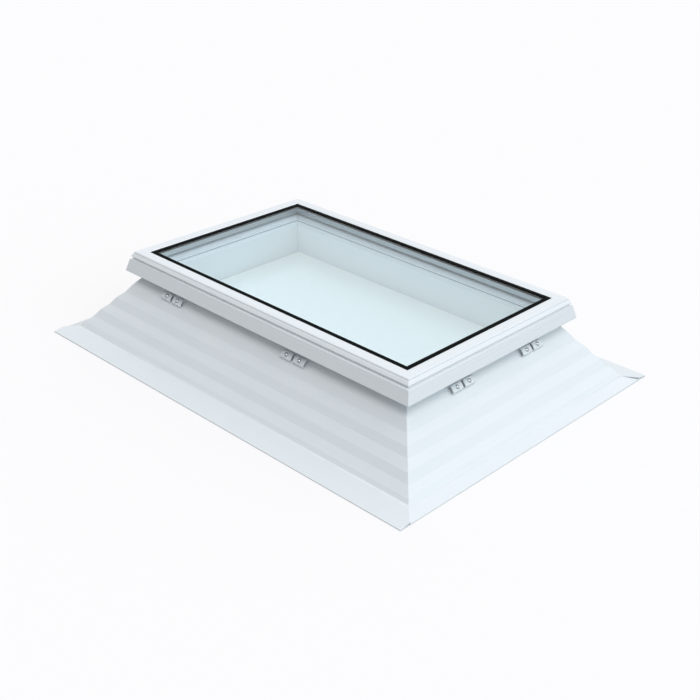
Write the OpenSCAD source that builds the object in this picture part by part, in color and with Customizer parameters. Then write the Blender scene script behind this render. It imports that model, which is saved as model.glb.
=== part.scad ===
// Fixed flat roof skylight: a double glazed unit in a white PVC frame, on a splayed
// ribbed PVC kerb whose foot flange is fixed to the roof.
// Origin: centre of the foot, on the roof. X runs along the long sides, Z points up.
// Sections are drawn in (n, z): n is the distance outwards from the visible glass edge.

/* [Glass opening] */
// Length of the visible glass
glass_l = 1016; // [900:1:1400]
// Width of the visible glass
glass_w = 604; // [560:1:1000]

/* [Kerb] */
// Outward run of the kerb wall for each millimetre it drops
splay = 0.8696; // [0.8:0.01:0.95]
// Height of the kerb's shoulder, where the sloping wall starts
shoulder_z = 200; // [198:1:201]
// Height of the kerb's flat top
kerb_top_z = 208; // [207:0.5:208.5]
// Horizontal depth of the hollow kerb wall
wall_depth = 26.5; // [22:0.5:30]
// Skin thickness, measured horizontally
skin = 4; // [3:0.5:5]
// Thickness of the webs between chambers
web = 2; // [1.5:0.5:3]
// Depth of the grooves between the ribs
rib_depth = 4; // [1.5:0.1:4.5]
// Reach of the foot flange on the long sides
foot_long = 230; // [200:1:260]
// Reach of the foot flange on the short sides
foot_short = 197; // [190:1:200]
// Thickness of the foot flange at its edge
foot_edge = 3; // [2:0.5:5]

/* [Frame] */
// Underside of the frame
frame_z = 211; // [211:0.5:211.5]
// Top of the frame, where the glazing bead starts
frame_top_z = 235; // [234:0.5:236]
// Wall thickness of the frame extrusion
frame_wall = 3; // [2.5:0.5:3.5]
// Outer reach of the frame's top face
skirt_top_n = 42.9; // [42:0.1:45]
// Outer reach of the skirt's lower edge
skirt_low_n = 53.6; // [53:0.1:56]
// Height of the skirt's lower edge
skirt_low_z = 197; // [196:0.5:200]
// Top of the glazing bead, which is the height of the skylight
bead_top_z = 258; // [258:0.5:260]

/* [Glazing] */
// Cover of the panes behind the bead
pane_cover = 10; // [8:0.5:11]
// Thickness of the outer pane
outer_pane_t = 6; // [4:0.5:6]
// Thickness of the inner pane
inner_pane_t = 6.8; // [4:0.1:6.8]
// Gap between the panes
pane_gap = 16; // [16:0.5:16.5]

/* [Brackets] */
// Width of one bracket tab
tab_w = 40; // [30:1:44]
// Distance between the two tabs of a bracket
tab_pitch = 48; // [44:1:60]
// Sheet thickness of a bracket
sheet = 2.5; // [2:0.5:3]
// Bracket centres along a long side
long_places = [-148, 359.4];
// Bracket centres along a short side
short_places = [-127.5, 167.5];
// Radius of a bracket screw's shank
screw_r = 2.45; // [2:0.05:2.5]
// Radius of a bracket screw's domed head
head_r = 6; // [5:0.5:7]

/* [Hidden] */
$fn = 48;
eps = 0.01;
half_l = glass_l / 2;
half_w = glass_w / 2;
reach = 300;

// kerb section
shoulder_n = -2;
top_in_n = -26;
crease = [158, 13];
rib_z = [149, 108, 67, 26.5];
groove_z = [127, 86, 45];
web_z = [8, 26.5, 45, 67, 86, 108, 127, 149, 172, 196];
cell_edge = rib_depth + skin;
gasket_n = [-22, -5];

// frame and bead sections
frame_in_n = -22;
seat_n = 12.5;
seat_z = 224;
stem_n = 33;
tongue = [20.2, 22.8];
tongue_z = 229;
slot_gap = 0.2;
bead_in_n = 13;
bead_foot_n = 35.5;
lip_z = 256.2;

// glazing levels, upwards
bed_n = [-7, 8];
bed_z = seat_z + 2.4;
gap_z = bed_z + inner_pane_t;
outer_z = gap_z + pane_gap;
outer_top_z = outer_z + outer_pane_t;
spacer_n = [-16, -6];
sealant_n = 9.5;
spacer_wall = 1;
spacer_slot = 1;
block_l = 80;

// bracket geometry: t runs down the kerb wall, h stands off it
slope_len = sqrt(1 + splay * splay);
down = [splay / slope_len, -1 / slope_len];
off = [1 / slope_len, splay / slope_len];
leg_n = 2;
wall_gap = 0.03;
leg_foot = [leg_n, shoulder_z + wall_gap - (leg_n - shoulder_n) / splay];
flange_n = 30;
flange_hole_n = 20;
hump = [34.5, 57.5];
hump_h = 11.5;
hump_r = 6;
tab_len = 60;
screw_t = (hump[0] + hump[1]) / 2;
screw_len = 24;
washer_t = 1.2;
washer_r = 7;
head_h = 3.6;
hole_gap = 0.3;
pilot_gap = 0.05;
small_r = 2.2;
small_head_r = 4;
small_head_h = 2;
small_len = 11;

white = [0.93, 0.95, 0.96];

// ---- geometry helpers ----

// points of an arc from angle a0 to a1
function arc(centre, r, a0, a1, steps = 6) =
    [for (i = [0:steps]) let (a = a0 + (a1 - a0) * i / steps) centre + r * [cos(a), sin(a)]];

// outer face of the kerb wall at height z
function wall_n(z) = shoulder_n + (shoulder_z - z) * splay;

// a point t down the kerb wall and h off it, as (n, z)
function on_wall(p) = leg_foot + p[0] * down + p[1] * off;

// an extrusion along the back (+Y) side; children are drawn in (n, z)
module along_back(length) {
    translate([-length / 2, half_w, 0])
        rotate([90, 0, 90])
            linear_extrude(length) children();
}

// an extrusion along the right (+X) side; children are drawn in (n, z)
module along_right(length) {
    translate([half_l, length / 2, 0])
        rotate([90, 0, 0])
            linear_extrude(length) children();
}

// a mitred length for the back side; cut_n is where the mitre turns square
module back_length(cut_n = reach) {
    d = half_l - half_w;
    intersection() {
        along_back(2 * (half_l + reach)) children();
        translate([0, 0, -eps])
            linear_extrude(bead_top_z + 1)
                polygon([[-d, 0], [d, 0],
                    [half_l + cut_n, half_w + cut_n], [half_l + cut_n, half_w + reach],
                    [-half_l - cut_n, half_w + reach], [-half_l - cut_n, half_w + cut_n]]);
    }
}

// a mitred length for the right side
module right_length() {
    intersection() {
        along_right(2 * (half_w + reach)) children();
        translate([0, 0, -eps])
            linear_extrude(bead_top_z + 1)
                polygon([[half_l - half_w, 0], [half_l + reach, -half_w - reach],
                    [half_l + reach, half_w + reach]]);
    }
}

// a flat ring between two offsets from the glass edge
module ring(n_in, n_out, z, height) {
    translate([0, 0, z])
        linear_extrude(height)
            difference() {
                square([glass_l + 2 * n_out, glass_w + 2 * n_out], center = true);
                square([glass_l + 2 * n_in, glass_w + 2 * n_in], center = true);
            }
}

// ---- sections ----

module kerb_section(foot) {
    wall = [for (i = [0:3]) each [
        [wall_n(rib_z[i]), rib_z[i]],
        if (i < 3) [wall_n(groove_z[i]) - rib_depth, groove_z[i]]]];
    inner_top_z = shoulder_z - (top_in_n + wall_depth - shoulder_n) / splay;
    difference() {
        polygon(concat(
            [[top_in_n, kerb_top_z], [shoulder_n, kerb_top_z], [shoulder_n, shoulder_z]],
            wall,
            [crease, [foot, foot_edge], [foot, 0], [wall_n(0) - wall_depth, 0],
                [top_in_n, inner_top_z]]));
        for (i = [0:len(web_z) - 2]) {
            low = web_z[i] + web / 2;
            high = web_z[i + 1] - web / 2;
            polygon([
                [wall_n(low) - wall_depth + skin, low], [wall_n(low) - cell_edge, low],
                [wall_n(high) - cell_edge, high], [wall_n(high) - wall_depth + skin, high]]);
        }
        translate([top_in_n + skin, shoulder_z])
            square([shoulder_n - top_in_n - 2 * skin, kerb_top_z - shoulder_z - skin + 1]);
    }
}

module frame_section() {
    in_z = seat_z - 6.5;
    difference() {
        polygon([
            [frame_in_n, frame_z], [frame_in_n, in_z], [-9, seat_z], [seat_n, seat_z],
            [seat_n, frame_top_z], [skirt_top_n, frame_top_z], [skirt_low_n, skirt_low_z],
            [skirt_low_n - 3.3, skirt_low_z], [skirt_top_n - 2.2, frame_top_z - 3.5],
            [stem_n, frame_top_z - 3.5], [stem_n, frame_z]]);
        polygon([
            [frame_in_n + frame_wall, frame_z + frame_wall],
            [frame_in_n + frame_wall, in_z - 1.7], [-8.4, seat_z - frame_wall],
            [seat_n - frame_wall, seat_z - frame_wall],
            [seat_n - frame_wall, frame_z + frame_wall]]);
        polygon([
            [seat_n, frame_z + frame_wall], [stem_n - frame_wall, frame_z + frame_wall],
            [stem_n - frame_wall, frame_top_z - frame_wall],
            [seat_n + frame_wall, frame_top_z - frame_wall],
            [seat_n + frame_wall, seat_z - frame_wall], [seat_n, seat_z - frame_wall]]);
        translate([tongue[0] - slot_gap, frame_top_z - frame_wall - 1])
            square([tongue[1] - tongue[0] + 2 * slot_gap, frame_wall + 2]);
    }
}

module bead_section() {
    difference() {
        union() {
            polygon([
                [bead_in_n, frame_top_z], [bead_foot_n, frame_top_z], [bead_foot_n, 243],
                [41.1, 243], [34.9, 251.6], [33.6, 252.4], [32.9, 256.2],
                [30.5, bead_top_z], [3, bead_top_z], [0, bead_top_z - 1.1], [0, lip_z],
                [bead_in_n, lip_z]]);
            translate([tongue[0], tongue_z])
                square([tongue[1] - tongue[0], frame_top_z - tongue_z + 1]);
        }
        polygon([
            [bead_in_n + 3, 238], [bead_foot_n - 3, 238], [bead_foot_n - 3, 249],
            [30, 253], [28, 255], [bead_in_n + 3, 255]]);
    }
}

module seal_section() {
    polygon([
        [-15, outer_top_z], [9, outer_top_z], [9, lip_z], [0, lip_z], [0, bead_top_z - 1.1],
        [-3, outer_top_z + 2], [-13, outer_top_z + 1.4], [-15, outer_top_z + 0.5]]);
}

// one bracket tab, down the wall and over the hump that takes the screw
module tab_section() {
    crown = hump_h - hump_r;
    inner_r = hump_r - sheet;
    up = concat([[0, sheet], [hump[0], sheet]],
        arc([hump[0] + hump_r, crown], hump_r, 180, 90),
        arc([hump[1] - hump_r, crown], hump_r, 90, 0),
        [[hump[1], sheet], [tab_len, sheet], [tab_len, 0]]);
    under = concat([[hump[1] - sheet, 0]],
        arc([hump[1] - hump_r, crown], inner_r, 0, 90),
        arc([hump[0] + hump_r, crown], inner_r, 90, 180),
        [[hump[0] + sheet, 0], [0, 0]]);
    polygon([for (p = concat(up, under)) on_wall(p)]);
    polygon([
        [leg_n, frame_z], [leg_n + sheet, frame_z],
        [leg_n + sheet, leg_foot[1] - sheet / splay], leg_foot]);
}

module bracket_flange_section() {
    translate([leg_n, frame_z - sheet]) square([flange_n - leg_n, sheet]);
}

// ---- placing along the sides ----

// stands children on the wall's face: their Z points off the wall, at t down it
module on_back_wall(x, t) {
    p = on_wall([t, 0]);
    translate([x, half_w + p[0], p[1]])
        rotate([-atan2(off[0], off[1]), 0, 0]) children();
}

module on_right_wall(y, t) {
    p = on_wall([t, 0]);
    translate([half_l + p[0], y, p[1]])
        rotate([0, atan2(off[0], off[1]), 0]) children();
}

// at each bracket screw of the back side
module back_screws() {
    for (x = long_places, s = [-1, 1])
        on_back_wall(x + s * tab_pitch / 2, screw_t) children();
}

module right_screws() {
    for (y = short_places, s = [-1, 1])
        on_right_wall(y + s * tab_pitch / 2, screw_t) children();
}

module all_bracket_screws() {
    for (a = [0, 180]) rotate(a) {
        back_screws() children();
        right_screws() children();
    }
}

// at each small screw that holds a bracket up against the frame
module back_flange_screws() {
    for (x = long_places, s = [-1, 1])
        translate([x + s * tab_pitch / 2, half_w + flange_hole_n, frame_z]) children();
}

module right_flange_screws() {
    for (y = short_places, s = [-1, 1])
        translate([half_l + flange_hole_n, y + s * tab_pitch / 2, frame_z]) children();
}

module pilot() {
    translate([0, 0, -screw_len]) cylinder(h = screw_len + 2, r = screw_r + pilot_gap);
}

module small_hole() {
    translate([0, 0, -sheet - 1]) cylinder(h = sheet + frame_wall + 2, r = small_r + 0.1);
}

// ---- kerb ----

module kerb_back() {
    color(white) difference() {
        back_length(foot_short) kerb_section(foot_long);
        back_screws() pilot();
    }
}

module kerb_front() {
    rotate(180) kerb_back();
}

module kerb_right() {
    color(white) difference() {
        right_length() kerb_section(foot_short);
        right_screws() pilot();
    }
}

module kerb_left() {
    rotate(180) kerb_right();
}

module kerb_gasket() {
    color("dimgray") ring(gasket_n[0], gasket_n[1], kerb_top_z, frame_z - kerb_top_z);
}

// ---- frame and glazing bead ----

module frame_back() {
    color(white) difference() {
        back_length() frame_section();
        back_flange_screws() small_hole();
    }
}

module frame_front() {
    rotate(180) frame_back();
}

module frame_right() {
    color(white) difference() {
        right_length() frame_section();
        right_flange_screws() small_hole();
    }
}

module frame_left() {
    rotate(180) frame_right();
}

module bead_back() {
    color(white) back_length() bead_section();
}

module bead_front() {
    rotate(180) bead_back();
}

module bead_right() {
    color(white) right_length() bead_section();
}

module bead_left() {
    rotate(180) bead_right();
}

// ---- glazing ----

module pane(z, thickness) {
    translate([0, 0, z])
        linear_extrude(thickness)
            square([glass_l + 2 * pane_cover, glass_w + 2 * pane_cover], center = true);
}

module outer_pane() {
    color([0.86, 0.93, 0.94, 0.35]) pane(outer_z, outer_pane_t);
}

module inner_pane() {
    color([0.86, 0.93, 0.94, 0.35]) pane(bed_z, inner_pane_t);
}

// hollow metal bar, open to the gap through a narrow slot
module spacer_bar() {
    color("silver") difference() {
        ring(spacer_n[0], spacer_n[1], gap_z, pane_gap);
        ring(spacer_n[0] + spacer_wall, spacer_n[1] - spacer_wall,
            gap_z + spacer_wall, pane_gap - 2 * spacer_wall);
        ring(spacer_n[0] - 1, spacer_n[0] + spacer_wall + eps,
            gap_z + (pane_gap - spacer_slot) / 2, spacer_slot);
    }
}

module edge_sealant() {
    color([0.15, 0.16, 0.17]) ring(spacer_n[1], sealant_n, gap_z, pane_gap);
}

module bed_gasket() {
    color("gainsboro") ring(bed_n[0], bed_n[1], seat_z, bed_z - seat_z);
}

module pane_seal() {
    color([0.05, 0.07, 0.08]) for (a = [0, 180]) rotate(a) {
        back_length() seal_section();
        right_length() seal_section();
    }
}

// plastic blocks that keep the glazing unit centred in the frame
module setting_blocks() {
    depth = seat_n - pane_cover;
    height = outer_z - 1 - seat_z;
    color("gray") for (a = [0, 180], s = [-1, 1]) rotate(a) {
        translate([s * half_l * 0.6 - block_l / 2, half_w + pane_cover, seat_z])
            cube([block_l, depth, height]);
        translate([half_l + pane_cover, s * half_w * 0.6 - block_l / 2, seat_z])
            cube([depth, block_l, height]);
    }
}

// ---- brackets and screws ----

module bracket_on_back(x) {
    color(white) difference() {
        translate([x, 0, 0]) {
            along_back(tab_pitch + tab_w) bracket_flange_section();
            for (s = [-1, 1])
                translate([s * tab_pitch / 2, 0, 0]) along_back(tab_w) tab_section();
        }
        back_screws() screw_hole();
        back_flange_screws() small_hole();
    }
}

module bracket_on_right(y) {
    color(white) difference() {
        translate([0, y, 0]) {
            along_right(tab_pitch + tab_w) bracket_flange_section();
            for (s = [-1, 1])
                translate([0, s * tab_pitch / 2, 0]) along_right(tab_w) tab_section();
        }
        right_screws() screw_hole();
        right_flange_screws() small_hole();
    }
}

module screw_hole() {
    cylinder(h = hump_h + 1, r = screw_r + hole_gap);
}

module bracket_back_1() { bracket_on_back(long_places[0]); }
module bracket_back_2() { bracket_on_back(long_places[1]); }
module bracket_front_1() { rotate(180) bracket_on_back(long_places[1]); }
module bracket_front_2() { rotate(180) bracket_on_back(long_places[0]); }
module bracket_right_1() { bracket_on_right(short_places[0]); }
module bracket_right_2() { bracket_on_right(short_places[1]); }
module bracket_left_1() { rotate(180) bracket_on_right(short_places[1]); }
module bracket_left_2() { rotate(180) bracket_on_right(short_places[0]); }

module bracket_screws() {
    head_z = hump_h + washer_t;
    dome_r = (head_r * head_r + head_h * head_h) / (2 * head_h);
    dome_a = asin(head_r / dome_r);
    color("gainsboro") all_bracket_screws() {
        translate([0, 0, head_z - screw_len]) cylinder(h = screw_len, r = screw_r);
        rotate_extrude()
            polygon(concat([[0, head_z], [head_r, head_z]],
                arc([0, head_z + head_h - dome_r], dome_r, 90 - dome_a, 90)));
    }
}

module bracket_washers() {
    color("silver") all_bracket_screws()
        translate([0, 0, hump_h])
            difference() {
                cylinder(h = washer_t, r = washer_r);
                translate([0, 0, -1]) cylinder(h = washer_t + 2, r = screw_r + hole_gap);
            }
}

module small_screw() {
    translate([0, 0, -sheet - small_head_h]) cylinder(h = small_head_h, r = small_head_r);
    translate([0, 0, -sheet - eps]) cylinder(h = small_len, r = small_r);
}

module flange_screws() {
    color("silver") for (a = [0, 180]) rotate(a) {
        back_flange_screws() small_screw();
        right_flange_screws() small_screw();
    }
}

kerb_front();
kerb_back();
kerb_left();
kerb_right();
kerb_gasket();
frame_front();
frame_back();
frame_left();
frame_right();
bead_front();
bead_back();
bead_left();
bead_right();
outer_pane();
inner_pane();
spacer_bar();
edge_sealant();
bed_gasket();
pane_seal();
setting_blocks();
bracket_front_1();
bracket_front_2();
bracket_back_1();
bracket_back_2();
bracket_left_1();
bracket_left_2();
bracket_right_1();
bracket_right_2();
bracket_screws();
bracket_washers();
flange_screws();
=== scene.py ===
import bmesh
import bpy
import math
import numpy as np
from mathutils import Matrix, Vector


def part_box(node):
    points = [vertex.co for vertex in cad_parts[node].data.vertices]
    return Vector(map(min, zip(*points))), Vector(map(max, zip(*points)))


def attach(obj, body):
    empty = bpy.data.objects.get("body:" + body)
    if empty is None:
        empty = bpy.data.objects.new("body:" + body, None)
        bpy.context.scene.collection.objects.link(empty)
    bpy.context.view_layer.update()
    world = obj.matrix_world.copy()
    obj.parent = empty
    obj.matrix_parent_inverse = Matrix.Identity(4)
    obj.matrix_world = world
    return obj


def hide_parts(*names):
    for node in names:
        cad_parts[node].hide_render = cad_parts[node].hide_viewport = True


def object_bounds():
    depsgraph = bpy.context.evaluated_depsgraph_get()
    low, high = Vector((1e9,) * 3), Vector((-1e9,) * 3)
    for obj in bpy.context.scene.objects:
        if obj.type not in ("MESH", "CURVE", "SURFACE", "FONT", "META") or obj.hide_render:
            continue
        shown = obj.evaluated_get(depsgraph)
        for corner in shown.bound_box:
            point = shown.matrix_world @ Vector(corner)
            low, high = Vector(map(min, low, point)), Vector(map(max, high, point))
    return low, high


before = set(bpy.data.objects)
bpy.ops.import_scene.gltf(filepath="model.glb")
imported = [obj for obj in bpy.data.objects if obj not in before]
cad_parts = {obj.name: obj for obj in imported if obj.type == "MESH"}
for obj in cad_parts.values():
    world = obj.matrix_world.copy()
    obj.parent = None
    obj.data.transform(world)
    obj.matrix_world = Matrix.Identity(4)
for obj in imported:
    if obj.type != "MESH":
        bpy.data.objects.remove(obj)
cad_low, cad_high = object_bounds()

# A fixed flat roof skylight: double glazed unit, white PVC frame and bead, splayed ribbed
# PVC kerb. Sections are in millimetres as (n, z): n is the distance outwards from the edge
# of the visible glass, z the height over the roof. Finished meshes are in metres.

MM = 0.001
PANE_COVER = 10.0
HALF_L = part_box("outer_pane")[1].x / MM - PANE_COVER
HALF_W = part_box("outer_pane")[1].y / MM - PANE_COVER
FOOT_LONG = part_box("kerb_back")[1].y / MM - HALF_W
FOOT_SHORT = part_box("kerb_right")[1].x / MM - HALF_L
TOP = cad_high[2] / MM

# kerb wall: a line that runs outwards SPLAY for each millimetre down from its shoulder
SPLAY = 0.8696
SHOULDER = (-2.0, 200.0)
WALL_DEPTH = 26.5
GROOVE_DEPTH = 4.0
RIB_Z = (149.0, 108.0, 67.0, 26.5)
GROOVE_Z = (127.0, 86.0, 45.0)

# brackets
TAB_PITCH = 48.0
TAB_W = 40.0
SHEET = 2.5
HUMP = (34.5, 57.5)
HUMP_H = 11.5
WASHER_T = 1.2
LEG_N = 2.0
FLANGE_N = 30.0
SMALL_SCREW_N = 20.0

# heights of the stack
KERB_TOP = 208.0
FRAME_BASE = 211.0
SEAT = 224.0
FRAME_TOP = 235.0
GLASS_TOP = 255.2
LIP_BASE = 256.2

# inner faces of kerb and frame
KERB_N = -26.0
FRAME_N = -22.0

# rounding of outlines
NEAREST = 0.02
FURTHEST = 0.45

# weld groove at the mitres
WELD_WIDTH = 0.5
WELD_DEPTH = 0.35


# ---------- shapes ----------

def rounded(corners, radii, steps=5):
    """A closed outline with each corner turned into a quadratic curve.

    The curve starts and ends one radius times tan(half the turn) from the corner, at least
    NEAREST and at most FURTHEST of the shorter edge. Between its ends a and b, round the
    corner c, it is (1-t)^2 a + 2t(1-t) c + t^2 b, for t from 0 to 1.
    Returns the points, and for each point whether the edge after it is part of a curve.
    """
    c = np.asarray(corners, float)
    radii = np.broadcast_to(np.asarray(radii, float), len(c))
    back = np.roll(c, 1, 0) - c
    ahead = np.roll(c, -1, 0) - c
    len_b = np.linalg.norm(back, axis=1)
    len_a = np.linalg.norm(ahead, axis=1)
    cos_turn = -(back * ahead).sum(1) / (len_b * len_a)
    half_turn = np.arccos(np.clip(cos_turn, -1, 1)) / 2
    d = np.clip(radii * np.tan(half_turn), NEAREST, FURTHEST * np.minimum(len_b, len_a))
    a = c + back * (d / len_b)[:, None]
    b = c + ahead * (d / len_a)[:, None]
    t = np.linspace(0, 1, steps)[None, :, None]
    curve = (1 - t) ** 2 * a[:, None] + 2 * t * (1 - t) * c[:, None] + t ** 2 * b[:, None]
    soft = np.tile(np.arange(steps) < steps - 1, len(c))
    return curve.reshape(-1, 2), soft


def inset(outline, depth):
    """The outline moved inwards by depth along each point's own normal."""
    along = np.roll(outline, -1, 0) - np.roll(outline, 1, 0)
    along /= np.linalg.norm(along, axis=1)[:, None]
    normal = np.stack([along[:, 1], -along[:, 0]], 1)
    x, y = outline.T
    area = (x * np.roll(y, -1) - np.roll(x, -1) * y).sum()
    return outline - normal * depth * np.sign(area)


def piece(name, points, faces, uv, soft, material, node_names, slot):
    """A mesh object in metres that rides on the part and stands for its CAD nodes."""
    mesh = bpy.data.meshes.new(name)
    mesh.from_pydata(np.asarray(points) * MM, [], faces)
    layer = mesh.uv_layers.new(name="run")
    layer.data.foreach_set("uv", np.asarray(uv, np.float32).ravel() * MM)
    mesh.polygons.foreach_set("use_smooth", np.asarray(soft, bool))
    work = bmesh.new()
    work.from_mesh(mesh)
    bmesh.ops.remove_doubles(work, verts=work.verts, dist=1e-7)
    bmesh.ops.recalc_face_normals(work, faces=work.faces)
    work.to_mesh(mesh)
    work.free()
    mesh.materials.append(material)
    obj = bpy.data.objects.new(name, mesh)
    bpy.context.scene.collection.objects.link(obj)
    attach(obj, "root")
    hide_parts(*node_names)
    return obj


def grid_faces(rows, cols, closed_cols=True):
    """Quads of a grid of points, row by row, whose columns close round if asked."""
    r = np.arange(rows - 1)[:, None]
    c = np.arange(cols if closed_cols else cols - 1)[None, :]
    c1 = (c + 1) % cols
    return np.stack([r * cols + c, r * cols + c1, (r + 1) * cols + c1, (r + 1) * cols + c],
                    -1).reshape(-1, 4)


def swept(rings, soft):
    """A closed solid through rings of points, (rings, points, 3), with flat ends.

    Its UV map has the distance along the sweep as u and the distance round the outline as
    v, both in millimetres.
    """
    count, size, _ = rings.shape
    quads = grid_faces(count, size)
    caps = [list(range(size - 1, -1, -1)), list(range((count - 1) * size, count * size))]
    step = np.linalg.norm(np.roll(rings, -1, 1) - rings, axis=2)[count // 2]
    v = np.concatenate([[0], np.cumsum(step)])
    run = np.linalg.norm(rings - rings[:1], axis=2)
    u = np.concatenate([run, run[:, :1]], 1)
    i = np.arange(count - 1)[:, None]
    j = np.arange(size)[None, :]
    quad_u = np.stack([u[i, j], u[i, j + 1], u[i + 1, j + 1], u[i + 1, j]], -1)
    quad_v = np.stack([v[j] + 0 * i, v[j + 1] + 0 * i, v[j + 1] + 0 * i, v[j] + 0 * i], -1)
    quad_uv = np.stack([quad_u, quad_v], -1).reshape(-1, 2)
    cap_uv = np.concatenate([np.stack([u[0, :size][::-1], v[:size][::-1]], 1),
                             np.stack([u[-1, :size], v[:size]], 1)])
    flags = np.concatenate([np.tile(soft, count - 1), [False, False]])
    return (rings.reshape(-1, 3), quads.tolist() + caps, np.concatenate([quad_uv, cap_uv]),
            flags)


def joined(parts):
    """Several (points, faces, uv, soft) solids as one."""
    points, faces, uv, soft, base = [], [], [], [], 0
    for p, f, m, s in parts:
        points.append(p)
        faces += [[base + k for k in face] for face in f]
        uv.append(m)
        soft.append(s)
        base += len(p)
    return np.concatenate(points), faces, np.concatenate(uv), np.concatenate(soft)


def to_side(side, along, n, z):
    """Places (along, n, z) on a side of the skylight: front -Y, back +Y, left -X, right +X."""
    if side in ("back", "front"):
        p = np.stack([along, HALF_W + n, z], -1)
    else:
        p = np.stack([HALF_L + n, -along, z], -1)
    turn = -1 if side in ("front", "left") else 1
    return p * (turn, turn, 1)


def mitred_length(side, section, soft, square_from=1e6):
    """A section swept along one side of the skylight and cut at 45 degrees at both ends.

    A point n outwards ends half the side plus n from the middle, and no further than half
    the side plus square_from. The last WELD_WIDTH of each end is pulled in by WELD_DEPTH,
    which leaves the fine groove of a scraped weld at the corner.
    """
    half = HALF_L if side in ("front", "back") else HALF_W
    ends = ((0.02, WELD_DEPTH), (WELD_WIDTH, 0.0))
    rings = []
    for sign, order in ((-1, ends), (1, ends[::-1])):
        for gap, depth in order:
            ring = inset(section, depth)
            reach = half + np.minimum(section[:, 0], square_from) - gap
            rings.append(to_side(side, sign * reach, ring[:, 0], ring[:, 1]))
    return swept(np.array(rings), soft)


def square_length(side, section, soft, start, end, edge=0.4):
    """A section swept from start to end along one side, its end edges eased by edge."""
    rings = []
    for at, depth in ((start, edge), (start + edge, 0), (end - edge, 0), (end, edge)):
        ring = inset(section, depth)
        rings.append(to_side(side, np.full(len(ring), at), ring[:, 0], ring[:, 1]))
    return swept(np.array(rings), soft)


def ring_round(section, soft):
    """A section swept round all four sides, with its corners mitred."""
    n, z = section.T
    corner = ((-1, -1), (1, -1), (1, 1), (-1, 1), (-1, -1))
    rings = np.array([np.stack([sx * (HALF_L + n), sy * (HALF_W + n), z], -1)
                      for sx, sy in corner])
    points, faces, uv, flags = swept(rings, soft)
    size = 4 * len(section)
    return points, faces[:size], uv[:4 * size], flags[:size]


def pane(low, high, arris=0.8):
    """A sheet of glass as a stack of rectangles, its edge ground off by a small arris."""
    n = np.array([PANE_COVER - arris, PANE_COVER, PANE_COVER, PANE_COVER - arris])
    z = np.array([low, low + arris, high - arris, high])
    corner = np.array([[-1, -1], [1, -1], [1, 1], [-1, 1]])
    size = np.stack([HALF_L + n, HALF_W + n], -1)
    xy = size[:, None] * corner[None]
    rings = np.concatenate([xy, np.broadcast_to(z[:, None, None], (4, 4, 1))], -1)
    return swept(rings, np.zeros(4, bool))


def turned(profile, soft, sides=32):
    """A profile of (radius, height) turned once round the Z axis."""
    a = np.linspace(0, 2 * math.pi, sides, endpoint=False)
    r, h = profile.T
    rings = np.stack([r[:, None] * np.cos(a), r[:, None] * np.sin(a),
                      np.broadcast_to(h[:, None], (len(r), sides))], -1)
    quads = grid_faces(len(r), sides)
    corners = rings.reshape(-1, 3)[quads]
    uv = np.stack([np.arctan2(corners[..., 1], corners[..., 0]), corners[..., 2]], -1)
    return rings.reshape(-1, 3), quads.tolist(), uv.reshape(-1, 2), np.repeat(soft, sides)


def placed(solid, frames):
    """Copies of a solid, one for each (origin, axes) in frames, as one."""
    points, faces, uv, soft = solid
    return joined([(points @ axes + origin, faces, uv, soft) for origin, axes in frames])


# ---------- sections ----------

def wall_n(z):
    """Outer face of the kerb wall at height z."""
    return SHOULDER[0] + (SHOULDER[1] - z) * SPLAY


def kerb_section(foot):
    """Hollow kerb: flat top, ribbed slope, thin foot flange, smooth inner slope."""
    ribs = []
    for i, z in enumerate(RIB_Z):
        ribs.append((wall_n(z), z, 3))
        if i < len(GROOVE_Z):
            ribs.append((wall_n(GROOVE_Z[i]) - GROOVE_DEPTH, GROOVE_Z[i], 3))
    inner_top = SHOULDER[1] - (KERB_N + WALL_DEPTH - SHOULDER[0]) / SPLAY
    crease, edge = (158, 13), 3
    turn = FOOT_SHORT - 0.5
    turn_z = crease[1] + (edge - crease[1]) * (turn - crease[0]) / (foot - crease[0])
    tip = [(turn, turn_z, 1), (foot, edge, 1), (foot, 0, 0.5), (turn, 0, 1)]
    if foot == FOOT_SHORT:
        tip = tip[1:3]
    corners = [(KERB_N, KERB_TOP, 1.2), (SHOULDER[0], KERB_TOP, 1.2), (*SHOULDER, 1), *ribs,
               (*crease, 8), *tip, (wall_n(0) - WALL_DEPTH, 0, 1), (KERB_N, inner_top, 3)]
    return rounded([c[:2] for c in corners], [c[2] for c in corners])


def frame_section():
    """Frame: glazing seat inside, upstand under the bead, drip skirt outside."""
    drip, skirt_top = 197, FRAME_TOP - 3.5
    corners = [(FRAME_N, FRAME_BASE, .6), (FRAME_N, FRAME_BASE + 6.5, 1), (-9, SEAT, 1),
               (12.5, SEAT, .5), (12.5, FRAME_TOP, .5), (42.9, FRAME_TOP, 2.2),
               (53.6, drip, 1.2), (50.3, drip, 1.2), (40.7, skirt_top, 1),
               (33, skirt_top, 1), (33, FRAME_BASE, .8)]
    return rounded([c[:2] for c in corners], [c[2] for c in corners])


def bead_section():
    """Glazing bead: lip over the seal, stepped outer face, shadow groove at its foot."""
    nose = FRAME_TOP + 8
    corners = [(13, FRAME_TOP, .4), (35.5, FRAME_TOP, .4), (35.5, nose, .8), (41.1, nose, .9),
               (34.9, 251.6, 1.2), (33.6, 252.4, .6), (32.9, LIP_BASE, .8), (30.5, TOP, 1.2),
               (3, TOP, 1.2), (0, TOP - 1.4, .4), (0, LIP_BASE, .3), (13, LIP_BASE, .3)]
    return rounded([c[:2] for c in corners], [c[2] for c in corners])


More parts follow.
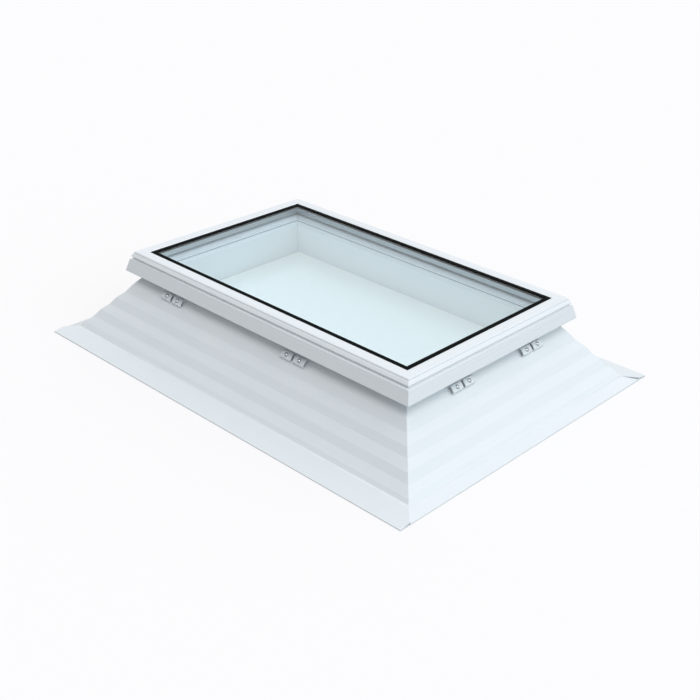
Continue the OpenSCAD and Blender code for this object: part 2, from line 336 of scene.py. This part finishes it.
def seal_section():
    """Black seal: a tail under the bead's lip, and a face highest at its edge on the glass."""
    edge, tail, crest = -15, 9, GLASS_TOP + 2
    corners = [(edge, GLASS_TOP), (tail, GLASS_TOP), (tail, LIP_BASE), (0, LIP_BASE),
               (-0.3, LIP_BASE + 0.3), (edge + 2.2, crest), (edge + 0.4, crest - 0.5),
               (edge, GLASS_TOP + 0.5)]
    return rounded(corners, 0.3)


def on_wall(t, h):
    """A point t down the kerb wall and h off it, from the foot of a bracket's leg."""
    length = math.hypot(1, SPLAY)
    n0, z0 = LEG_N, SHOULDER[1] - (LEG_N - SHOULDER[0]) / SPLAY
    return n0 + (t * SPLAY + h) / length, z0 + (h * SPLAY - t) / length


def tab_section():
    """Bent sheet: flange under the frame, leg, lie on the wall, hump, foot."""
    a, b = HUMP
    end, inner_rise = 60, HUMP_H - SHEET
    over = [(0.5, SHEET, 2), (a, SHEET, 1.5), (a, HUMP_H, 11), (b, HUMP_H, 11), (b, SHEET, 1.5),
            (end, SHEET, .8), (end, 0, .4)]
    under = [(b - SHEET, 0, 1), (b - SHEET, inner_rise, 8.5), (a + SHEET, inner_rise, 8.5),
             (a + SHEET, 0, 1), (0, 0, .8)]
    flange_low = FRAME_BASE - SHEET
    corners = [(LEG_N + SHEET, flange_low, 1)] + [(*on_wall(t, h), r) for t, h, r in over + under]
    corners += [(LEG_N, FRAME_BASE, 2), (FLANGE_N, FRAME_BASE, .6), (FLANGE_N, flange_low, .6)]
    return rounded([c[:2] for c in corners], [c[2] for c in corners], steps=7)


# ---------- materials ----------

def linear(hex_code):
    """An sRGB hex colour as the linear RGBA that shaders use."""
    s = np.array([int(hex_code[i:i + 2], 16) for i in (1, 3, 5)]) / 255
    rgb = np.where(s <= 0.04045, s / 12.92, ((s + 0.055) / 1.055) ** 2.4)
    return (*rgb, 1.0)


def add_node(tree, kind, inputs=None, **settings):
    """A node with its settings; an input is a value, or another node's output to link."""
    node = tree.nodes.new(kind)
    for key, value in settings.items():
        setattr(node, key, value)
    for key, value in (inputs or {}).items():
        if isinstance(value, bpy.types.NodeSocket):
            tree.links.new(value, node.inputs[key])
        else:
            node.inputs[key].default_value = value
    return node


def new_material(name):
    """An empty material: its node tree and its output node."""
    material = bpy.data.materials.new(name)
    material.use_nodes = True
    material.node_tree.nodes.clear()
    out = material.node_tree.nodes.new("ShaderNodeOutputMaterial")
    return material, material.node_tree, out


def extruded_pvc(name, base, cooler, roughness, die_mm=3.0, coat=0.0):
    """Impact-modified PVC-U, extruded: opaque white with a satin skin.

    The die leaves faint streaks along the length, a few millimetres apart, drawn from the
    UV map's distance round the section. Cooling leaves a slow waviness along the length,
    and the pigment varies by a per cent or so.
    """
    material, tree, out = new_material(name)
    uv = add_node(tree, "ShaderNodeUVMap", uv_map="run")
    streak_at = add_node(tree, "ShaderNodeMapping", {
        "Vector": uv.outputs["UV"], "Scale": (1.5, 1000 / die_mm, 1)})
    streak = add_node(tree, "ShaderNodeTexNoise", {
        "Vector": streak_at.outputs["Vector"], "Scale": 1.0, "Detail": 2.0})
    place = add_node(tree, "ShaderNodeTexCoord")
    cloud = add_node(tree, "ShaderNodeTexNoise", {
        "Vector": place.outputs["Object"], "Scale": 9.0, "Detail": 3.0, "Roughness": 0.5})
    grain = add_node(tree, "ShaderNodeTexNoise", {
        "Vector": place.outputs["Object"], "Scale": 900.0, "Detail": 1.0})
    blend = add_node(tree, "ShaderNodeMath", {
        0: streak.outputs["Fac"], 1: cloud.outputs["Fac"]}, operation="MULTIPLY")
    colour = add_node(tree, "ShaderNodeMix", {
        "Factor": blend.outputs["Value"], "A": linear(base), "B": linear(cooler)},
        data_type="RGBA")
    rough = add_node(tree, "ShaderNodeMapRange", {
        "Value": streak.outputs["Fac"], "From Min": 0.3, "From Max": 0.7,
        "To Min": roughness - 0.05, "To Max": roughness + 0.06})
    fine = add_node(tree, "ShaderNodeBump", {
        "Height": grain.outputs["Fac"], "Strength": 0.06, "Distance": 0.0002})
    bump = add_node(tree, "ShaderNodeBump", {
        "Height": streak.outputs["Fac"], "Strength": 0.12, "Distance": 0.0004,
        "Normal": fine.outputs["Normal"]})
    shader = add_node(tree, "ShaderNodeBsdfPrincipled", {
        "Base Color": colour.outputs["Result"], "Roughness": rough.outputs["Result"],
        "Normal": bump.outputs["Normal"], "IOR": 1.53, "Coat Weight": coat,
        "Coat Roughness": 0.15})
    tree.links.new(shader.outputs[0], out.inputs["Surface"])
    return material


def powder_coat(name, base, speck):
    """Polyester powder coat on steel sheet: fine orange peel a millimetre across."""
    material, tree, out = new_material(name)
    place = add_node(tree, "ShaderNodeTexCoord")
    peel = add_node(tree, "ShaderNodeTexNoise", {
        "Vector": place.outputs["Object"], "Scale": 700.0, "Detail": 2.0})
    colour = add_node(tree, "ShaderNodeMix", {
        "Factor": peel.outputs["Fac"], "A": linear(base), "B": linear(speck)},
        data_type="RGBA")
    bump = add_node(tree, "ShaderNodeBump", {
        "Height": peel.outputs["Fac"], "Strength": 0.15, "Distance": 0.0003})
    shader = add_node(tree, "ShaderNodeBsdfPrincipled", {
        "Base Color": colour.outputs["Result"], "Roughness": 0.32,
        "Normal": bump.outputs["Normal"], "IOR": 1.5})
    tree.links.new(shader.outputs[0], out.inputs["Surface"])
    return material


def rubber(name, base, worn, roughness, grain_mm=0.6, gloss=0.5):
    """Extruded or cast rubber: matt, with a fine bloom and pores."""
    material, tree, out = new_material(name)
    place = add_node(tree, "ShaderNodeTexCoord")
    pores = add_node(tree, "ShaderNodeTexNoise", {
        "Vector": place.outputs["Object"], "Scale": 1000 / grain_mm, "Detail": 2.0})
    bloom = add_node(tree, "ShaderNodeTexNoise", {
        "Vector": place.outputs["Object"], "Scale": 25.0, "Detail": 4.0})
    colour = add_node(tree, "ShaderNodeMix", {
        "Factor": bloom.outputs["Fac"], "A": linear(base), "B": linear(worn)},
        data_type="RGBA")
    bump = add_node(tree, "ShaderNodeBump", {
        "Height": pores.outputs["Fac"], "Strength": 0.2, "Distance": 0.0002})
    shader = add_node(tree, "ShaderNodeBsdfPrincipled", {
        "Base Color": colour.outputs["Result"], "Roughness": roughness,
        "Normal": bump.outputs["Normal"], "IOR": 1.52, "Specular IOR Level": gloss})
    tree.links.new(shader.outputs[0], out.inputs["Surface"])
    return material


def float_glass(name, tint, wave_mm=160.0):
    """Clear float glass: mirror smooth, a weak blue-green tint, faint roller waves.

    It is drawn as a clear tinted sheet with a mirror over it whose strength follows
    Fresnel's law, so daylight goes through it without being bent.
    """
    material, tree, out = new_material(name)
    place = add_node(tree, "ShaderNodeTexCoord")
    wave = add_node(tree, "ShaderNodeTexNoise", {
        "Vector": place.outputs["Object"], "Scale": 1000 / wave_mm, "Detail": 0.0})
    bump = add_node(tree, "ShaderNodeBump", {
        "Height": wave.outputs["Fac"], "Strength": 0.05, "Distance": 0.0005})
    clear = add_node(tree, "ShaderNodeBsdfTransparent", {"Color": linear(tint)})
    mirror = add_node(tree, "ShaderNodeBsdfGlossy", {
        "Color": (1, 1, 1, 1), "Roughness": 0.0, "Normal": bump.outputs["Normal"]})
    law = add_node(tree, "ShaderNodeFresnel", {"IOR": 1.52})
    skin = add_node(tree, "ShaderNodeNewGeometry")
    outer = add_node(tree, "ShaderNodeMath", {
        0: 1.0, 1: skin.outputs["Backfacing"]}, operation="SUBTRACT")
    share = add_node(tree, "ShaderNodeMath", {
        0: law.outputs["Fac"], 1: outer.outputs["Value"]}, operation="MULTIPLY")
    mix = add_node(tree, "ShaderNodeMixShader", {
        0: share.outputs["Value"], 1: clear.outputs[0], 2: mirror.outputs[0]})
    tree.links.new(mix.outputs[0], out.inputs["Surface"])
    return material


def bare_metal(name, base, dull, roughness, brush_mm=0.5):
    """Bare metal: clean reflections broken by fine drawn or polished lines."""
    material, tree, out = new_material(name)
    uv = add_node(tree, "ShaderNodeUVMap", uv_map="run")
    line_at = add_node(tree, "ShaderNodeMapping", {
        "Vector": uv.outputs["UV"], "Scale": (3, 1000 / brush_mm, 1)})
    line = add_node(tree, "ShaderNodeTexNoise", {
        "Vector": line_at.outputs["Vector"], "Scale": 1.0, "Detail": 2.0})
    colour = add_node(tree, "ShaderNodeMix", {
        "Factor": line.outputs["Fac"], "A": linear(base), "B": linear(dull)},
        data_type="RGBA")
    rough = add_node(tree, "ShaderNodeMapRange", {
        "Value": line.outputs["Fac"], "To Min": roughness * 0.7, "To Max": roughness * 1.4})
    shader = add_node(tree, "ShaderNodeBsdfPrincipled", {
        "Base Color": colour.outputs["Result"], "Roughness": rough.outputs["Result"],
        "Metallic": 1.0})
    tree.links.new(shader.outputs[0], out.inputs["Surface"])
    return material


KERB_PVC = extruded_pvc("kerb_pvc_satin", "#EDF0F2", "#E4E9EC", roughness=0.42)
FRAME_PVC = extruded_pvc("frame_pvc_smooth", "#F1F3F5", "#EAEEF1", roughness=0.30,
                         die_mm=2.0, coat=0.15)
BRACKET_PAINT = powder_coat("bracket_powder_coat", "#EDF0F3", "#E3E8EC")
SEAL_RUBBER = rubber("seal_epdm_black", "#030607", "#070C0D", roughness=0.6, gloss=0.04)
FOAM = rubber("kerb_gasket_foam", "#A7AFB2", "#979FA3", roughness=0.8, grain_mm=1.0)
BEDDING = rubber("bedding_tape", "#DCE2E4", "#D2D8DB", roughness=0.7, grain_mm=1.0)
SEALANT = rubber("edge_sealant_polysulphide", "#24282A", "#2E3335", roughness=0.55)
BLOCK = rubber("setting_block_plastic", "#76797C", "#6C7073", roughness=0.5)
GLASS = float_glass("pane_float_glass", tint="#FCFEFF")
SPACER = bare_metal("spacer_aluminium", "#B9C0C4", "#A6AEB3", roughness=0.35)
STEEL = bare_metal("screw_stainless", "#E8EAEB", "#D6D9DB", roughness=0.10, brush_mm=0.8)


# ---------- kerb, frame and bead ----------

SIDES = ("front", "back", "left", "right")


def build_lengths():
    """The four mitred lengths each of kerb, frame and glazing bead."""
    for side in SIDES:
        long_side = side in ("front", "back")
        section, soft = kerb_section(FOOT_LONG if long_side else FOOT_SHORT)
        piece("kerb_length_" + side, *mitred_length(side, section, soft, FOOT_SHORT),
              KERB_PVC, ["kerb_" + side], "kerb_pvc")
        piece("frame_length_" + side, *mitred_length(side, *frame_section()),
              FRAME_PVC, ["frame_" + side], "frame_pvc")
        piece("bead_length_" + side, *mitred_length(side, *bead_section()),
              FRAME_PVC, ["bead_" + side], "frame_pvc")


# ---------- glazing ----------

def build_glazing():
    """Two panes, the spacer and sealant between them, gaskets and the black seal."""
    for name in ("outer_pane", "inner_pane"):
        low, high = (corner.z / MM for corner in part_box(name))
        piece(name + "_sheet", *pane(low, high), GLASS, [name], "pane_glass")
    gap_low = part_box("spacer_bar")[0].z / MM
    gap_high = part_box("spacer_bar")[1].z / MM
    bar_in, bar_out, fill_out = -16, -6, 9.5
    bar = rounded([(bar_in, gap_low), (bar_out, gap_low), (bar_out, gap_high),
                   (bar_in, gap_high)], 0.8)
    piece("spacer_tube", *ring_round(*bar), SPACER, ["spacer_bar"], "spacer_aluminium")
    fill = rounded([(bar_out, gap_low), (fill_out, gap_low),
                    (fill_out - 0.7, (gap_low + gap_high) / 2), (fill_out, gap_high),
                    (bar_out, gap_high)], 0.4)
    piece("sealant_fill", *ring_round(*fill), SEALANT, ["edge_sealant"], "edge_sealant")
    bed_top = SEAT + 2.4
    bed = rounded([(-7, SEAT), (8, SEAT), (8, bed_top), (-7, bed_top)], 0.7)
    piece("bedding_strip", *ring_round(*bed), BEDDING, ["bed_gasket"], "bedding_tape")
    foam_out = -5
    foam = rounded([(FRAME_N, KERB_TOP), (foam_out, KERB_TOP), (foam_out, FRAME_BASE),
                    (FRAME_N, FRAME_BASE)], 0.9)
    piece("foam_strip", *ring_round(*foam), FOAM, ["kerb_gasket"], "gasket_foam")
    piece("black_seal", *ring_round(*seal_section()), SEAL_RUBBER, ["pane_seal"],
          "black_rubber")
    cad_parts["setting_blocks"].data.materials.clear()
    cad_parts["setting_blocks"].data.materials.append(BLOCK)


# ---------- brackets and screws ----------

def bracket_middles(side):
    """Bracket middles along a side, from its tabs in the frame, in that side's own sense."""
    middles = []
    for index in (1, 2):
        low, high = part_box(f"bracket_{side}_{index}")
        middle = (low + high) / (2 * MM)
        along = {"back": middle.x, "front": -middle.x, "right": -middle.y, "left": middle.y}
        middles.append(along[side])
    return middles


def build_brackets():
    """Each bracket is two bent tabs joined by a strip of flange under the frame."""
    section, soft = tab_section()
    low = FRAME_BASE - SHEET
    link = rounded([(LEG_N, low), (FLANGE_N, low), (FLANGE_N, FRAME_BASE),
                    (LEG_N, FRAME_BASE)], 0.6)
    for side in SIDES:
        for index, middle in enumerate(bracket_middles(side), 1):
            solids = []
            for sign in (-1, 1):
                start = middle + sign * TAB_PITCH / 2 - TAB_W / 2
                solids.append(square_length(side, section, soft, start, start + TAB_W))
            gap = (TAB_PITCH - TAB_W) / 2
            solids.append(square_length(side, *link, middle - gap, middle + gap, 0.01))
            piece(f"bracket_sheet_{side}_{index}", *joined(solids), BRACKET_PAINT,
                  [f"bracket_{side}_{index}"], "bracket_paint")


def screw_frames(n, z, up_n, up_z):
    """Origin and axes of every screw: at (n, z) on each tab, its own Z towards (up_n, up_z)."""
    found = []
    for side in SIDES:
        for middle in bracket_middles(side):
            for sign in (-1, 1):
                at = middle + sign * TAB_PITCH / 2
                origin = to_side(side, np.array(at), np.array(n), np.array(z))
                tip = to_side(side, np.array(at), np.array(n + up_n), np.array(z + up_z))
                beside = to_side(side, np.array(at + 1.0), np.array(n), np.array(z))
                up, across = tip - origin, beside - origin
                found.append((origin, np.array([across, np.cross(up, across), up])))
    return found


def dome_head(radius, height, socket_r, socket_depth):
    """A domed head: arc of a circle through its rim and crown, with a turned drive socket."""
    dome_r = (radius ** 2 + height ** 2) / (2 * height)
    a = np.linspace(math.asin(radius / dome_r), math.asin(socket_r / dome_r), 10)
    arc = np.stack([dome_r * np.sin(a), dome_r * np.cos(a) + height - dome_r], 1)
    rim = np.array([[2.4, -0.1], [radius - 0.3, -0.1], [radius, 0.15]])
    crown = arc[-1]
    floor = crown[1] - socket_depth
    socket = np.array([[socket_r - 0.25, crown[1] - 0.1], [socket_r - 0.3, floor],
                       [0.0, floor - 0.3]])
    profile = np.concatenate([[[0.0, -0.1]], rim, arc[1:], socket])
    soft = np.ones(len(profile) - 1, bool)
    soft[-2:] = False
    return turned(profile, soft)


def shank(radius, top, length, pitch=1.8):
    """A threaded shank: its radius rises and falls once each pitch, down to a point."""
    depth, point = 0.25, 4
    h = np.linspace(0, length, 90)
    thread = depth * np.abs(((h / pitch) % 1) * 2 - 1)
    r = (radius - depth + thread) * np.clip((length - h) / point, 0, 1) ** 0.6
    profile = np.concatenate([[[0.0, top]], np.stack([r, top - h], 1)])
    return turned(profile, np.ones(len(profile) - 1, bool), 16)


def build_fixings():
    """Domed screws and washers on the humps, and small screws up into the frame."""
    length = math.hypot(1, SPLAY)
    n, z = on_wall((HUMP[0] + HUMP[1]) / 2, HUMP_H)
    frames = screw_frames(n, z, 1 / length, SPLAY / length)
    bore, rim = 2.8, 7
    washer = rounded([(bore, 0), (rim, 0), (rim, WASHER_T), (bore, WASHER_T)], 0.35)
    ring = turned(np.concatenate([washer[0], washer[0][:1]]), washer[1])
    piece("screw_washers", *placed(ring, frames), STEEL, ["bracket_washers"],
          "stainless_steel")
    head = dome_head(radius=6, height=3.6, socket_r=2.6, socket_depth=2.2)
    stem = shank(radius=2.45, top=0, length=22)
    seated = [(o + axes[2] * WASHER_T, axes) for o, axes in frames]
    piece("domed_screws", *placed(joined([head, stem]), seated), STEEL,
          ["bracket_screws"], "stainless_steel")
    under = screw_frames(SMALL_SCREW_N, FRAME_BASE - SHEET, 0.0, -1.0)
    small = joined([dome_head(radius=4, height=2, socket_r=1.4, socket_depth=1.0),
                    shank(radius=2.2, top=0, length=10.5, pitch=1.2)])
    piece("small_screws", *placed(small, under), STEEL, ["flange_screws"],
          "stainless_steel")


# ---------- stage ----------

def stage_sheet(name, half_x, half_y, height, material):
    """A flat rectangle of the stage, centred under the skylight."""
    mesh = bpy.data.meshes.new(name)
    corners = [(-half_x, -half_y, 0), (half_x, -half_y, 0), (half_x, half_y, 0),
               (-half_x, half_y, 0)]
    mesh.from_pydata(corners, [], [(0, 1, 2, 3)])
    sheet = bpy.data.objects.new(name, mesh)
    sheet.location.z = height
    bpy.context.scene.collection.objects.link(sheet)
    mesh.materials.append(material)


def build_floor():
    """A plain white floor, and a lit white sheet just over it inside the kerb.

    The floor shows white without throwing that white up at the walls: its glow is for
    the camera only, and what it bounces comes from its own mid grey.
    """
    camera_glow, underlay_glow = 0.66, 0.42
    material, tree, out = new_material("floor_paper")
    path = add_node(tree, "ShaderNodeLightPath")
    glow = add_node(tree, "ShaderNodeMath", {
        0: path.outputs["Is Camera Ray"], 1: camera_glow}, operation="MULTIPLY")
    shader = add_node(tree, "ShaderNodeBsdfPrincipled", {
        "Base Color": linear("#9A9C9E"), "Roughness": 0.9, "Specular IOR Level": 0.0,
        "Emission Color": linear("#FFFBFA"), "Emission Strength": glow.outputs["Value"]})
    tree.links.new(shader.outputs[0], out.inputs["Surface"])
    stage_sheet("floor", 30.0, 30.0, -0.0003, material)
    material, tree, out = new_material("underlay_paper")
    shader = add_node(tree, "ShaderNodeBsdfPrincipled", {
        "Base Color": linear("#C9CECE"), "Roughness": 0.9, "Specular IOR Level": 0.0,
        "Emission Color": linear("#F4FBF8"), "Emission Strength": underlay_glow})
    tree.links.new(shader.outputs[0], out.inputs["Surface"])
    inside = wall_n(0) - WALL_DEPTH - 1
    stage_sheet("underlay", (HALF_L + inside) * MM, (HALF_W + inside) * MM, 0.0001, material)


def light_sky():
    """A soft white surround, brighter overhead and towards the back."""
    world = bpy.data.worlds.new("studio")
    bpy.context.scene.world = world
    world.use_nodes = True
    tree = world.node_tree
    tree.nodes.clear()
    place = add_node(tree, "ShaderNodeTexCoord")
    brightest, darkest_level, brightest_level = (0.25, 0.55, 0.70), 0.08, 1.0
    toward = add_node(tree, "ShaderNodeVectorMath", {
        0: place.outputs["Generated"], 1: brightest}, operation="DOT_PRODUCT")
    level = add_node(tree, "ShaderNodeMapRange", {
        "Value": toward.outputs["Value"], "From Min": -0.9, "From Max": 0.9,
        "To Min": darkest_level, "To Max": brightest_level})
    sky = add_node(tree, "ShaderNodeBackground", {
        "Color": linear("#F6F9FB"), "Strength": level.outputs["Result"]})
    out = add_node(tree, "ShaderNodeOutputWorld")
    tree.links.new(sky.outputs[0], out.inputs["Surface"])


def soft_lamp(name, toward, spread, strength, colour):
    """A distant studio lamp seen from the object along toward, spread degrees across."""
    data = bpy.data.lights.new(name, "SUN")
    data.angle = math.radians(spread)
    data.energy = strength
    data.color = linear(colour)[:3]
    lamp = bpy.data.objects.new(name, data)
    bpy.context.scene.collection.objects.link(lamp)
    lamp.rotation_euler = Vector(toward).to_track_quat("Z", "Y").to_euler()


def place_camera():
    """A long lens at a three-quarter view of the front and right sides."""
    az, el, roll = (math.radians(a) for a in (43.294, 27.514, 1.371))
    distance, target, lens = 3.4263, np.array([0.0, 0.0328, 0.0]), 59.03
    back = np.array([math.sin(az) * math.cos(el), -math.cos(az) * math.cos(el), math.sin(el)])
    right = np.array([math.cos(az), math.sin(az), 0.0])
    up = np.cross(back, right)
    side = math.cos(roll) * right + math.sin(roll) * up
    top = math.cos(roll) * up - math.sin(roll) * right
    data = bpy.data.cameras.new("camera")
    data.lens = lens
    data.sensor_width = 36.0
    camera = bpy.data.objects.new("camera", data)
    bpy.context.scene.collection.objects.link(camera)
    matrix = np.eye(4)
    matrix[:3, 0], matrix[:3, 1], matrix[:3, 2] = side, top, back
    matrix[:3, 3] = target + back * distance
    camera.matrix_world = Matrix(matrix.tolist())
    bpy.context.scene.camera = camera


place_camera()
build_floor()
light_sky()
soft_lamp("key", toward=(0.42, -0.38, 0.82), spread=24, strength=0.85, colour="#FBFCFF")
soft_lamp("side", toward=(0.88, 0.10, 0.46), spread=40, strength=0.50, colour="#CDEFFF")
bpy.context.scene.view_settings.view_transform = "Standard"
build_lengths()
build_glazing()
build_brackets()
build_fixings()
